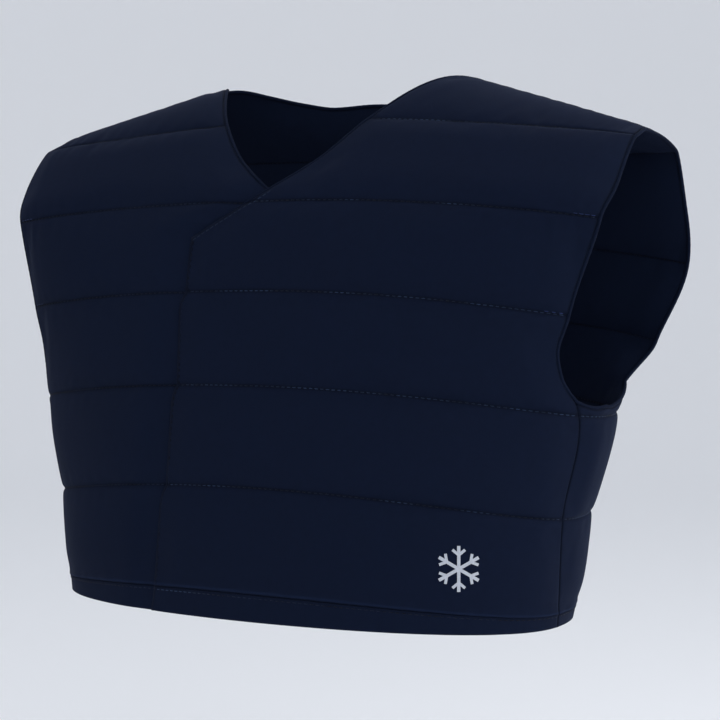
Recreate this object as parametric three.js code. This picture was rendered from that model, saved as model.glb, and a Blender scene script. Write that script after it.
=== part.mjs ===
// Quilted wrap vest, as worn: two front panels lapped left over right, one back panel, turned hem,
// rolled neck and armhole edges and a hidden fastening strip between the laps. Millimetres.
import * as THREE from "three";

// Sizes of the whole vest
const BACK_LENGTH = 373; // from the neck points down to the hem edge
const HALF_WIDTH = 252; // from the middle to the widest part of the shoulder caps
const CHEST_DEPTH = 128; // from the shoulder line to the front of the chest

// Thickness of the cloth and of the roll round its edges
const SEAM_THICKNESS = 2.4; // where the cloth is stitched down
const PAD_THICKNESS = 7.4; // in the middle of a padded channel
const PAD_OUTWARD = 0.45; // share of the padding that swells to the outside
const HEM_THICKNESS = 3;
const EDGE_TAPER = 20; // the padding thins out over this width at every edge
const ROLL_RADIUS = 1.5;
const STRIP_THICKNESS = 1.6;
const STRIP_GAP = 0.6;
const PIECE_GAP = 0.3;
const LAP_SPACE = STRIP_THICKNESS + 2 * STRIP_GAP;
const LAP_RAMP = 30; // width over which the under lap sinks below the upper one
const LAP_SETTLED = 1; // it lies fully below it from this far inside the upper edge
const CHANNEL_FULLNESS = 0.6; // lower is boxier, 1 is a plain sine

// Sections of the vest, one row for each level. Level 0 is the hem edge, 1 the hem seam, 2 to 6 the
// quilting lines from the lowest up and 7 the crest of the shoulders.
// Heights are shares of BACK_LENGTH below the neck points, at the middle and at the side of the
// front and of the back. Lift is how much higher the right side sits. Left and right are the half
// widths to either side, as shares of HALF_WIDTH. Depths are shares of CHEST_DEPTH, at the same four
// places. Round is the power of the section's curve and bow the power by which a line falls from the
// middle to the side.
const LEVELS = [
  { level: 0, frontLow: 0.991, frontSideLow: 0.997, backLow: 1.0, backSideLow: 0.997, lift: 0,
    left: 0.764, right: 0.764, front: -1.0, frontSide: -0.23, back: 0.78, backSide: -0.23, round: 0.9, bow: 2 },
  { level: 1, frontLow: 0.944, frontSideLow: 0.973, backLow: 0.96, backSideLow: 0.973, lift: 0,
    left: 0.772, right: 0.772, front: -0.984, frontSide: -0.23, back: 0.79, backSide: -0.23, round: 0.9, bow: 2 },
  { level: 2, frontLow: 0.759, frontSideLow: 0.806, backLow: 0.775, backSideLow: 0.806, lift: 0,
    left: 0.811, right: 0.815, front: -0.922, frontSide: -0.21, back: 0.82, backSide: -0.21, round: 0.9, bow: 2 },
  { level: 3, frontLow: 0.579, frontSideLow: 0.629, backLow: 0.587, backSideLow: 0.629, lift: 0.008,
    left: 0.879, right: 0.9, front: -0.844, frontSide: -0.165, back: 0.86, backSide: -0.165, round: 0.9, bow: 2 },
  { level: 4, frontLow: 0.408, frontSideLow: 0.461, backLow: 0.442, backSideLow: 0.507, lift: 0.019,
    left: 0.901, right: 0.931, front: -0.781, frontSide: -0.273, back: 0.883, backSide: 0.5, round: 0.8, bow: 2 },
  { level: 5, frontLow: 0.243, frontSideLow: 0.295, backLow: 0.295, backSideLow: 0.359, lift: 0.027,
    left: 0.972, right: 0.978, front: -0.672, frontSide: -0.375, back: 0.89, backSide: 0.625, round: 0.8, bow: 2 },
  { level: 5.5, frontLow: 0.161, frontSideLow: 0.231, backLow: 0.214, backSideLow: 0.265, lift: 0.03,
    left: 0.986, right: 0.99, front: -0.516, frontSide: -0.312, back: 0.812, backSide: 0.53, round: 0.8, bow: 2 },
  { level: 6, frontLow: 0.083, frontSideLow: 0.142, backLow: 0.129, backSideLow: 0.15, lift: 0.032,
    left: 0.986, right: 0.986, front: -0.36, frontSide: -0.063, back: 0.656, backSide: 0.365, round: 0.8, bow: 1.5 },
  { level: 7, frontLow: -0.08, frontSideLow: 0.129, backLow: -0.08, backSideLow: 0.129, lift: 0.035,
    left: 0.974, right: 0.98, front: 0.234, frontSide: -0.031, back: 0.234, backSide: -0.031, round: 1, bow: 1.1 },
];

const LIFT_SPREAD = 1.5; // power by which the lift grows from the middle to the side

// Free edge of a front panel: how far it reaches past the middle, as a share of HALF_WIDTH.
// Below the corner it is the lap, then the slanted top of the lap and then the neckline.
const LAP_CORNER_LEVEL = 4.6;
const NECK_CROSSING_LEVEL = 5.12;
const FREE_EDGE = [
  { level: 0, past: 0.276 },
  { level: 1, past: 0.27 },
  { level: 1.88, past: 0.264 },
  { level: 2, past: 0.248 },
  { level: 2.88, past: 0.247 },
  { level: 3, past: 0.233 },
  { level: 3.88, past: 0.236 },
  { level: 4, past: 0.22 },
  { level: LAP_CORNER_LEVEL, past: 0.222 },
];
const NECKLINE = [
  { level: NECK_CROSSING_LEVEL, past: 0 },
  { level: 5.3, past: -0.07 },
  { level: 5.5, past: -0.134 },
  { level: 6, past: -0.236 },
  { level: 6.5, past: -0.33 },
  { level: 7, past: -0.418 },
];

// Where a front panel ends at the side, in degrees round from the middle of the front.
// Up to the armhole this is the side seam and above it the front edge of the armhole.
const ARMHOLE_FRONT_LEVEL = 3.12;
const FRONT_END = [
  { level: 0, turn: 88 },
  { level: 1, turn: 86.5 },
  { level: 2, turn: 79.5 },
  { level: ARMHOLE_FRONT_LEVEL, turn: 72.4 },
  { level: 3.2, turn: 69.6 },
  { level: 3.35, turn: 66.6 },
  { level: 3.6, turn: 65.2 },
  { level: 4, turn: 68.4 },
  { level: 4.5, turn: 69.8 },
  { level: 5, turn: 71 },
  { level: 5.5, turn: 73.2 },
  { level: 6, turn: 75 },
  { level: 7, turn: 76 },
];

// Back edge of the armhole, in degrees round from the middle of the back, and its lowest part.
const ARMHOLE_BACK_LEVEL = 3.35;
const BACK_END = [
  { level: ARMHOLE_BACK_LEVEL, turn: 68.6 },
  { level: 3.6, turn: 70.5 },
  { level: 4, turn: 75 },
  { level: 4.5, turn: 77 },
  { level: 5, turn: 77.6 },
  { level: 6, turn: 75.6 },
  { level: 7, turn: 76 },
];
const ARMHOLE_FOOT = [
  { turn: 72.4, level: ARMHOLE_FRONT_LEVEL },
  { turn: 76, level: 3.09 },
  { turn: 82, level: 3.07 },
  { turn: 90, level: 3.09 },
  { turn: 98, level: 3.15 },
  { turn: 106, level: 3.25 },
  { turn: 111.4, level: ARMHOLE_BACK_LEVEL },
];

// Back neckline: the level of its edge at a share of the way from the middle to a neck point.
const BACK_NECK = [
  { share: 0, level: 6.4 },
  { share: 0.25, level: 6.42 },
  { share: 0.5, level: 6.51 },
  { share: 0.75, level: 6.68 },
  { share: 1, level: 7 },
];

// How finely the walls are divided
const CHANNEL_ROWS = [0, 0.12, 0.35, 0.6, 0.88];
const FRONT_COLUMNS = 12;
const NECK_SHARES = [0, 0.3, 0.6, 0.82];
const SIDE_COLUMNS = 6;
const ROLL_SIDES = 6;
const HEM_LEVEL = 1;
const ARMPIT_LINE_LEVEL = 3;
const TOP_LINE_LEVEL = 6;
const CREST_LEVEL = 7;

const radians = THREE.MathUtils.degToRad;

// Value at a position along a table by a smooth curve that never overshoots its rows.
function smoothThrough(positions, values, position, topSlope) {
  const last = positions.length - 1;
  const at = Math.min(Math.max(position, positions[0]), positions[last]);
  const width = (i) => positions[i + 1] - positions[i];
  const rise = (i) => (values[i + 1] - values[i]) / width(i);
  const slope = (i) => {
    if (i === 0) {
      return rise(0);
    }
    if (i === last) {
      return topSlope ?? rise(last - 1);
    }
    if (rise(i - 1) * rise(i) <= 0) {
      return 0;
    }
    const before = 2 * width(i) + width(i - 1);
    const after = width(i) + 2 * width(i - 1);
    return (before + after) / (before / rise(i - 1) + after / rise(i));
  };
  let i = 0;
  while (i < last - 1 && at >= positions[i + 1]) {
    i += 1;
  }
  const t = (at - positions[i]) / width(i);
  const keep = (1 + 2 * t) * (1 - t) ** 2;
  const leave = t * (1 - t) ** 2 * width(i) * slope(i);
  const arrive = t * t * (t - 1) * width(i) * slope(i + 1);
  return keep * values[i] + leave + (1 - keep) * values[i + 1] + arrive;
}

function fromTable(table, key, column, position) {
  return smoothThrough(table.map((row) => row[key]), table.map((row) => row[column]), position);
}

// Point of one section at an angle round from the middle of the front.
function sectionPoint(row, turn) {
  const reach = Math.sin(turn);
  const open = Math.abs(Math.cos(turn)) ** row.round;
  const isFront = Math.cos(turn) >= 0;
  const middleLow = isFront ? row.frontLow : row.backLow;
  const sideLow = isFront ? row.frontSideLow : row.backSideLow;
  const middleDepth = isFront ? row.front : row.back;
  const sideDepth = isFront ? row.frontSide : row.backSide;
  const low = middleLow + (sideLow - middleLow) * Math.abs(reach) ** row.bow;
  const lift = reach < 0 ? row.lift * Math.abs(reach) ** LIFT_SPREAD : 0;
  return [
    HALF_WIDTH * (reach < 0 ? row.right : row.left) * reach,
    CHEST_DEPTH * (sideDepth + (middleDepth - sideDepth) * open),
    BACK_LENGTH * (lift - low),
  ];
}

// Point of the outside of the cloth, as it lies along the stitching. The cloth runs level over the
// crest of the shoulders.
function skin(level, degrees) {
  const points = LEVELS.map((row) => sectionPoint(row, radians(degrees)));
  const levels = LEVELS.map((row) => row.level);
  return new THREE.Vector3(
    smoothThrough(levels, points.map((p) => p[0]), level),
    smoothThrough(levels, points.map((p) => p[1]), level),
    smoothThrough(levels, points.map((p) => p[2]), level, 0),
  );
}

function slopes(level, degrees) {
  const step = 0.02;
  const low = Math.max(level - step, 0);
  const high = Math.min(level + step, CREST_LEVEL);
  const up = skin(high, degrees).sub(skin(low, degrees)).divideScalar(high - low);
  const round = skin(level, degrees + 1).sub(skin(level, degrees - 1)).divideScalar(2);
  return { up, round };
}

function plainNormal(level, degrees) {
  const { up, round } = slopes(level, degrees);
  return round.cross(up).normalize();
}

// Outward direction. Towards the crest it turns into the one that front and back share there.
function normalAt(level, degrees) {
  const normal = plainNormal(level, degrees);
  const share = THREE.MathUtils.smoothstep(level, TOP_LINE_LEVEL, CREST_LEVEL);
  if (share === 0) {
    return normal;
  }
  const here = plainNormal(CREST_LEVEL, degrees);
  const across = plainNormal(CREST_LEVEL, 180 - degrees);
  return normal.lerp(here.add(across).normalize(), share).normalize();
}

// Level and angle steps that move a point by a length along the cloth.
function levelStep(level, degrees, length) {
  return length / slopes(level, degrees).up.length();
}

function turnStep(level, degrees, length) {
  return length / slopes(level, degrees).round.length();
}

// Swelling of the padding between two quilting lines, 0 on the lines and 1 between them.
function channel(level) {
  if (level <= HEM_LEVEL || level >= CREST_LEVEL) {
    return 0;
  }
  return Math.sin(Math.PI * (level - Math.floor(level))) ** CHANNEL_FULLNESS;
}

// Angle of a front panel's free edge, measured from the middle towards the other side.
function pastMiddle(level) {
  const table = level <= LAP_CORNER_LEVEL ? FREE_EDGE : NECKLINE;
  if (level > LAP_CORNER_LEVEL && level < NECK_CROSSING_LEVEL) {
    const share = (NECK_CROSSING_LEVEL - level) / (NECK_CROSSING_LEVEL - LAP_CORNER_LEVEL);
    return share * fromTable(FREE_EDGE, "level", "past", LAP_CORNER_LEVEL) * HALF_WIDTH;
  }
  return fromTable(table, "level", "past", level) * HALF_WIDTH;
}

function halfWidthAt(level) {
  return skin(level, 90).x;
}

function freeEdgeTurn(level) {
  const reach = THREE.MathUtils.clamp(-pastMiddle(level) / halfWidthAt(level), -1, 1);
  return THREE.MathUtils.radToDeg(Math.asin(reach));
}

function frontEndTurn(level) {
  return fromTable(FRONT_END, "level", "turn", level);
}

// How far the outside of the under lap lies below the outside of the upper one, 0 where it is bare.
function lapDrop(level, degrees) {
  const x = skin(level, degrees).x;
  const edge = -pastMiddle(level);
  const under = THREE.MathUtils.smoothstep(x, edge - LAP_RAMP, edge - LAP_SETTLED);
  const upperDepth = SEAM_THICKNESS + (PAD_THICKNESS - SEAM_THICKNESS) * channel(level);
  return under * (upperDepth + LAP_SPACE);
}

// A sheet is a set of grids of { level, turn } spots that share the spots along common borders.
function joinGrids(grids) {
  const spots = [];
  const faces = [];
  const seen = new Map();
  const indexOf = (spot) => {
    const key = `${spot.level.toFixed(4)} ${spot.turn.toFixed(3)}`;
    if (!seen.has(key)) {
      seen.set(key, spots.length);
      spots.push(spot);
    }
    return seen.get(key);
  };
  for (const grid of grids) {
    for (let i = 0; i + 1 < grid.length; i += 1) {
      for (let j = 0; j + 1 < grid[i].length; j += 1) {
        const [a, b] = [indexOf(grid[i][j]), indexOf(grid[i][j + 1])];
        const [d, c] = [indexOf(grid[i + 1][j]), indexOf(grid[i + 1][j + 1])];
        faces.push([a, b, c], [a, c, d]);
      }
    }
  }
  return { spots, faces };
}

function borderOf(faces) {
  const edges = new Map();
  for (const [a, b, c] of faces) {
    for (const [from, to] of [[a, b], [b, c], [c, a]]) {
      if (edges.has(`${to} ${from}`)) {
        edges.delete(`${to} ${from}`);
      } else {
        edges.set(`${from} ${to}`, [from, to]);
      }
    }
  }
  return [...edges.values()];
}

function distanceToBorder(point, places, border) {
  const nearest = new THREE.Vector3();
  let distance = Infinity;
  for (const [from, to] of border) {
    new THREE.Line3(places[from], places[to]).closestPointToPoint(point, true, nearest);
    distance = Math.min(distance, point.distanceTo(nearest));
  }
  return distance;
}

// Closed wall of a sheet. The depth function gives, for a spot and its share of full padding, how
// far the outer and the inner face lie below the outside of the cloth.
function wall(grids, depths) {
  const { spots, faces } = joinGrids(grids);
  const border = borderOf(faces);
  const places = spots.map((spot) => skin(spot.level, spot.turn));
  const outer = [];
  const inner = [];
  spots.forEach((spot, i) => {
    const fromEdge = distanceToBorder(places[i], places, border);
    const padded = THREE.MathUtils.smoothstep(fromEdge, 0, EDGE_TAPER) * channel(spot.level);
    const [top, bottom] = depths(spot, padded);
    const normal = normalAt(spot.level, spot.turn);
    outer.push(places[i].clone().addScaledVector(normal, -top));
    inner.push(places[i].clone().addScaledVector(normal, -bottom));
  });
  const count = spots.length;
  const triangles = [];
  for (const [a, b, c] of faces) {
    triangles.push([a, b, c], [count + a, count + c, count + b]);
  }
  for (const [from, to] of border) {
    triangles.push([from, count + to, to], [from, count + from, count + to]);
  }
  return solid([...outer, ...inner], triangles);
}

function solid(points, triangles) {
  const geometry = new THREE.BufferGeometry();
  const coordinates = points.flatMap((p) => [p.x, p.y, p.z]);
  geometry.setAttribute("position", new THREE.Float32BufferAttribute(coordinates, 3));
  geometry.setIndex(triangles.flat());
  geometry.computeVertexNormals();
  return geometry;
}

function paddedDepths(padded) {
  const padding = (PAD_THICKNESS - SEAM_THICKNESS) * padded;
  return [-PAD_OUTWARD * padding, SEAM_THICKNESS + (1 - PAD_OUTWARD) * padding];
}

function channelLevels(from, to) {
  const levels = [];
  for (let line = from; line < to; line += 1) {
    CHANNEL_ROWS.forEach((share) => levels.push(line + share));
  }
  return levels;
}

// Front panel grid from the free edge to the side, for the left panel. The right one mirrors it.
function frontGrid(levels, side) {
  return levels.map((level) => {
    const start = freeEdgeTurn(level);
    const end = frontEndTurn(level);
    const gap = level < ARMHOLE_FRONT_LEVEL ? turnStep(level, end, PIECE_GAP / 2) : 0;
    const row = [];
    for (let j = 0; j <= FRONT_COLUMNS; j += 1) {
      const turn = start + (end - gap - start) * (j / FRONT_COLUMNS);
      row.push({ level, turn: side * turn });
    }
    return side < 0 ? row.reverse() : row;
  });
}

function panelLevels(degrees) {
  const levels = channelLevels(HEM_LEVEL, CREST_LEVEL);
  levels[0] += levelStep(HEM_LEVEL + 0.1, degrees, PIECE_GAP / 2);
  levels.push(CREST_LEVEL - levelStep(CREST_LEVEL - 0.1, degrees, PIECE_GAP / 2));
  return levels;
}

function frontPanel(side) {
  const depths = (spot, padded) => {
    const [top, bottom] = paddedDepths(padded);
    const drop = side < 0 ? lapDrop(spot.level, spot.turn) : 0;
    const share = Math.min(drop / LAP_SPACE, 1);
    return [top * (1 - share) + drop, bottom - top * share + drop];
  };
  return wall([frontGrid(panelLevels(45), side)], depths);
}

// The back panel: a middle grid up to the neckline and the crest, and at each side a grid that runs
// forward under the armhole to the side seam.
function backEndTurn(level) {
  return fromTable(BACK_END, "level", "turn", Math.max(level, ARMHOLE_BACK_LEVEL));
}

// Shares of the half width from the middle of the back to its side. Over the shoulders they match
// the columns of the front panels.
function backShares() {
  const neck = freeEdgeTurn(CREST_LEVEL) / backEndTurn(CREST_LEVEL);
  const shares = NECK_SHARES.map((share) => share * neck);
  for (let j = 0; j <= FRONT_COLUMNS; j += 1) {
    shares.push(neck + (1 - neck) * (j / FRONT_COLUMNS));
  }
  return { neck, shares: [...shares.slice(1).reverse().map((share) => -share), ...shares] };
}

function backTopLevel(share) {
  const { neck } = backShares();
  return fromTable(BACK_NECK, "share", "level", Math.abs(share) / neck);
}

function backGrids(levels) {
  const top = levels[levels.length - 1];
  const middle = levels.map((level) => backShares().shares.map((share) => {
    const height = Math.min(backTopLevel(share), Math.max(top, HEM_LEVEL));
    const climb = Math.max(level - TOP_LINE_LEVEL, 0) / (top - TOP_LINE_LEVEL);
    const here = level <= TOP_LINE_LEVEL ? level : TOP_LINE_LEVEL + climb * (height - TOP_LINE_LEVEL);
    return { level: here, turn: 180 + share * backEndTurn(here) };
  }));
  const low = levels.filter((level) => level <= ARMHOLE_BACK_LEVEL);
  const sideGrid = (side) => low.map((level) => {
    const row = [];
    for (let j = 0; j <= SIDE_COLUMNS; j += 1) {
      const climb = (level - ARMPIT_LINE_LEVEL) / (ARMHOLE_BACK_LEVEL - ARMPIT_LINE_LEVEL);
      const squeeze = (foot) => (climb > 0 ? ARMPIT_LINE_LEVEL + climb * (foot - ARMPIT_LINE_LEVEL) : level);
      const seam = frontEndTurn(squeeze(ARMHOLE_FRONT_LEVEL));
      const start = seam + turnStep(level, seam, PIECE_GAP / 2);
      const end = 180 - backEndTurn(level);
      const turn = start + (end - start) * (j / SIDE_COLUMNS);
      const foot = fromTable(ARMHOLE_FOOT, "turn", "level", turn);
      const here = j === SIDE_COLUMNS ? level : squeeze(foot);
      row.push({ level: here, turn: side > 0 ? turn : 360 - turn });
    }
    return side > 0 ? row : row.reverse();
  });
  return [sideGrid(1), middle, sideGrid(-1)];
}

function backPanel() {
  return wall(backGrids(panelLevels(135)), (spot, padded) => paddedDepths(padded));
}

// Turned hem below the hem seam.
function hemLevels(degrees) {
  return [0, 0.5, HEM_LEVEL - levelStep(HEM_LEVEL / 2, degrees, PIECE_GAP / 2)];
}

function frontHem(side) {
  return wall([frontGrid(hemLevels(45), side)], (spot) => {
    const drop = side < 0 ? lapDrop(spot.level, spot.turn) : 0;
    return [drop, drop + HEM_THICKNESS];
  });
}

function backHem() {
  return wall(backGrids(hemLevels(135)), () => [0, HEM_THICKNESS]);
}

// Roll along an edge: a thin round bead beside the edge of the wall. Each spot may carry a drop.
function roll(spots, closed) {
  const middles = spots.map((spot) => skin(spot.level, spot.turn));
  const normals = spots.map((spot) => normalAt(spot.level, spot.turn));
  const count = spots.length;
  middles.forEach((middle, i) => {
    middle.addScaledVector(normals[i], -(spots[i].drop ?? 0) - SEAM_THICKNESS / 2);
  });
  const points = [];
  for (let i = 0; i < count; i += 1) {
    const ahead = closed ? (i + 1) % count : Math.min(i + 1, count - 1);
    const behind = closed ? (i + count - 1) % count : Math.max(i - 1, 0);
    const along = middles[ahead].clone().sub(middles[behind]).normalize();
    const away = normals[i].clone().cross(along).normalize();
    const facing = along.clone().cross(away).normalize();
    const centre = middles[i].clone().addScaledVector(away, ROLL_RADIUS + PIECE_GAP);
    for (let k = 0; k < ROLL_SIDES; k += 1) {
      const angle = (2 * Math.PI * k) / ROLL_SIDES;
      const point = centre.clone().addScaledVector(away, ROLL_RADIUS * Math.cos(angle));
      points.push(point.addScaledVector(facing, ROLL_RADIUS * Math.sin(angle)));
    }
  }
  const triangles = [];
  const rings = closed ? count : count - 1;
  for (let i = 0; i < rings; i += 1) {
    for (let k = 0; k < ROLL_SIDES; k += 1) {
      const next = (k + 1) % ROLL_SIDES;
      const far = ((i + 1) % count) * ROLL_SIDES;
      const [a, b, c, d] = [i * ROLL_SIDES + k, i * ROLL_SIDES + next, far + next, far + k];
      triangles.push([a, b, c], [a, c, d]);
    }
  }
  if (!closed) {
    for (let k = 1; k + 1 < ROLL_SIDES; k += 1) {
      const end = (count - 1) * ROLL_SIDES;
      triangles.push([0, k + 1, k], [end, end + k, end + k + 1]);
    }
  }
  return solid(points, triangles);
}

// Spots round an armhole: up its front edge, over the shoulder, down its back edge and along its
// foot. They are those of the walls' own edges.
function armholeSpots(side) {
  const rising = [...channelLevels(ARMPIT_LINE_LEVEL, CREST_LEVEL), CREST_LEVEL];
  const front = rising.filter((level) => level > ARMHOLE_FRONT_LEVEL);
  const back = front.slice(0, -1).reverse();
  const loop = front.map((level) => ({ level, turn: frontEndTurn(level) }));
  back.forEach((level) => loop.push({ level, turn: 180 - backEndTurn(level) }));
  const footStart = frontEndTurn(ARMHOLE_FRONT_LEVEL);
  const footEnd = 180 - backEndTurn(ARMHOLE_BACK_LEVEL);
  for (let j = SIDE_COLUMNS - 1; j >= 0; j -= 1) {
    const turn = footStart + (footEnd - footStart) * (j / SIDE_COLUMNS);
    loop.push({ level: fromTable(ARMHOLE_FOOT, "turn", "level", turn), turn });
  }
  return side > 0 ? loop.reverse() : loop.map((spot) => ({ level: spot.level, turn: -spot.turn }));
}

// Spots along the neck: from the hidden corner of the under lap round to the corner of the upper one.
function neckSpots() {
  const climb = channelLevels(4, CREST_LEVEL).filter((level) => level >= LAP_CORNER_LEVEL);
  climb.push(CREST_LEVEL);
  const under = climb.map((level) => {
    const turn = -freeEdgeTurn(level);
    return { level, turn, drop: lapDrop(level, turn) };
  });
  const upper = climb.map((level) => ({ level, turn: freeEdgeTurn(level) })).reverse();
  const { neck } = backShares();
  const shares = [...NECK_SHARES.slice(1).reverse().map((share) => -share), ...NECK_SHARES];
  const behind = shares.map((share) => {
    const level = fromTable(BACK_NECK, "share", "level", Math.abs(share));
    return { level, turn: 180 - share * neck * backEndTurn(level) };
  });
  return [...under, ...behind, ...upper].reverse();
}

// Hidden fastening strip between the laps.
const STRIP_ROWS = channelLevels(HEM_LEVEL, ARMPIT_LINE_LEVEL + 1).slice(2);
const STRIP_FROM = -0.16;
const STRIP_TO = -0.06;
const STRIP_COLUMNS = 2;

function fasteningStrip() {
  const grid = STRIP_ROWS.map((level) => {
    const row = [];
    for (let j = 0; j <= STRIP_COLUMNS; j += 1) {
      const x = (STRIP_FROM + (STRIP_TO - STRIP_FROM) * (j / STRIP_COLUMNS)) * HALF_WIDTH;
      row.push({ level, turn: THREE.MathUtils.radToDeg(Math.asin(x / halfWidthAt(level))) });
    }
    return row;
  });
  return wall([grid], (spot) => {
    const top = SEAM_THICKNESS + (PAD_THICKNESS - SEAM_THICKNESS) * channel(spot.level) + STRIP_GAP;
    return [top, top + STRIP_THICKNESS];
  });
}

const vest = new THREE.Group();

function addPiece(name, geometry, colour) {
  const material = new THREE.MeshStandardMaterial({ color: colour, roughness: 0.85 });
  const mesh = new THREE.Mesh(geometry, material);
  mesh.name = name;
  vest.add(mesh);
}

const PANEL_COLOUR = 0x141c32;
const EDGE_COLOUR = 0x1b2440;
const STRIP_COLOUR = 0x0e1322;

addPiece("front_panel_right", frontPanel(-1), PANEL_COLOUR);
addPiece("front_panel_left", frontPanel(1), PANEL_COLOUR);
addPiece("back_panel", backPanel(), PANEL_COLOUR);
addPiece("hem_front_right", frontHem(-1), EDGE_COLOUR);
addPiece("hem_front_left", frontHem(1), EDGE_COLOUR);
addPiece("hem_back", backHem(), EDGE_COLOUR);
addPiece("armhole_edge_right", roll(armholeSpots(-1), true), EDGE_COLOUR);
addPiece("armhole_edge_left", roll(armholeSpots(1), true), EDGE_COLOUR);
addPiece("neck_edge", roll(neckSpots(), false), EDGE_COLOUR);
addPiece("lap_fastening_strip", fasteningStrip(), STRIP_COLOUR);

export default vest;
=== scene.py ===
import math
from functools import partial

import bpy
import numpy as np
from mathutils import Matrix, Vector
from mathutils.bvhtree import BVHTree


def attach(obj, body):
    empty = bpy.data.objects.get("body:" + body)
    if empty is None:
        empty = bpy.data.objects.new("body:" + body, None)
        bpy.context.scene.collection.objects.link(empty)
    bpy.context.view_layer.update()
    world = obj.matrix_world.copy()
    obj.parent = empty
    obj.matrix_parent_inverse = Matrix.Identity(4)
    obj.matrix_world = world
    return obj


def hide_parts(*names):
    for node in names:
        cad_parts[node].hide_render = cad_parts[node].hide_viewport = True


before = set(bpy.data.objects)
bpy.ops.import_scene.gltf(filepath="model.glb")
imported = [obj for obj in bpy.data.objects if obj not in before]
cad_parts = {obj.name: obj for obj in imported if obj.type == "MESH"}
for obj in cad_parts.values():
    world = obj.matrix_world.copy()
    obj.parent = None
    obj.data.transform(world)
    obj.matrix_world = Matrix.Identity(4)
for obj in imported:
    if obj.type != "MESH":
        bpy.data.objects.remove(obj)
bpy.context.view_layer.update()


# Right front panel, the under lap
# Two layers of fine woven polyester with an absorbent filling between them, stitched through
# along five lines. It is sewn to the back at the side and on the shoulder, and its middle edge
# hangs under the left panel.

# Sizes of the vest's form, in metres
BACK_LENGTH = 0.373
HALF_WIDTH = 0.252
CHEST_DEPTH = 0.128
SEAM_THICKNESS = 0.0024
PAD_THICKNESS = 0.0074
PAD_OUTWARD = 0.45
EDGE_TAPER = 0.02
STRIP_THICKNESS = 0.0016
STRIP_GAP = 0.0006
PIECE_GAP = 0.0003
LAP_SPACE = STRIP_THICKNESS + 2 * STRIP_GAP
LAP_RAMP = 0.03
LAP_SETTLED = 0.001
LAP_CLEAR = 0.0012
CHANNEL_FULLNESS = 0.6
LIFT_SPREAD = 1.5
SLOPE_STEP = 0.02

# Sections: level 0 is the hem edge, 1 the hem seam, 2 to 6 the quilting lines, 7 the shoulder.
# Heights are shares of BACK_LENGTH below the neck points, widths shares of HALF_WIDTH and depths
# shares of CHEST_DEPTH, as in the solid model.
SECTION_LEVELS = np.array([0, 1, 2, 3, 4, 5, 5.5, 6, 7])
FRONT_LOW = [0.991, 0.944, 0.759, 0.579, 0.408, 0.243, 0.161, 0.083, -0.08]
FRONT_SIDE_LOW = [0.997, 0.973, 0.806, 0.629, 0.461, 0.295, 0.231, 0.142, 0.129]
BACK_LOW = [1.0, 0.96, 0.775, 0.587, 0.442, 0.295, 0.214, 0.129, -0.08]
BACK_SIDE_LOW = [0.997, 0.973, 0.806, 0.629, 0.507, 0.359, 0.265, 0.15, 0.129]
LIFT = [0, 0, 0, 0.008, 0.019, 0.027, 0.03, 0.032, 0.035]
LEFT = [0.764, 0.772, 0.811, 0.879, 0.901, 0.972, 0.986, 0.986, 0.974]
RIGHT = [0.764, 0.772, 0.815, 0.9, 0.931, 0.978, 0.99, 0.986, 0.98]
FRONT = [-1.0, -0.984, -0.922, -0.844, -0.781, -0.672, -0.516, -0.36, 0.234]
FRONT_SIDE = [-0.23, -0.23, -0.21, -0.165, -0.273, -0.375, -0.312, -0.063, -0.031]
BACK = [0.78, 0.79, 0.82, 0.86, 0.883, 0.89, 0.812, 0.656, 0.234]
BACK_SIDE = [-0.23, -0.23, -0.21, -0.165, 0.5, 0.625, 0.53, 0.365, -0.031]
ROUND = [0.9, 0.9, 0.9, 0.9, 0.8, 0.8, 0.8, 0.8, 1]
BOW = [2, 2, 2, 2, 2, 2, 2, 1.5, 1.1]

HEM_FOLD_LEVEL = 0.02
HEM_LEVEL = 1
FIRST_LINE_LEVEL = 2
ARMPIT_LINE_LEVEL = 3
TOP_LINE_LEVEL = 6
CREST_LEVEL = 7
QUILTING_LINES = range(FIRST_LINE_LEVEL, TOP_LINE_LEVEL + 1)
LAP_CORNER_LEVEL = 4.6
NECK_CROSSING_LEVEL = 5.12
ARMHOLE_FRONT_LEVEL = 3.12

# Edges of a front panel: rows of (level, share of the half width past the middle) and of
# (level, degrees round from the front middle)
FREE_EDGE = [
    (0, 0.276), (1, 0.27), (1.88, 0.264), (2, 0.248), (2.88, 0.247),
    (3, 0.233), (3.88, 0.236), (4, 0.22), (LAP_CORNER_LEVEL, 0.222),
]
NECKLINE = [
    (NECK_CROSSING_LEVEL, 0), (5.3, -0.07), (5.5, -0.134), (6, -0.236), (6.5, -0.33), (7, -0.418),
]
FRONT_END = [
    (0, 88), (1, 86.5), (2, 79.5), (ARMHOLE_FRONT_LEVEL, 72.4), (3.2, 69.6), (3.35, 66.6),
    (3.6, 65.2), (4, 68.4), (4.5, 69.8), (5, 71), (5.5, 73.2), (6, 75), (7, 76),
]

# Groove of a quilting line; its width is a share of a channel
GROOVE_DEPTH = 0.0013
GROOVE_WIDTH = 0.014
GROOVE_INSIDE = 0.3

# How finely a panel is divided
CHANNEL_ROWS = [0, 0.02, 0.06, 0.12, 0.22, 0.35, 0.48, 0.6, 0.72, 0.8, 0.88, 0.94, 0.98]
FRONT_COLUMNS = 60


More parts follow.
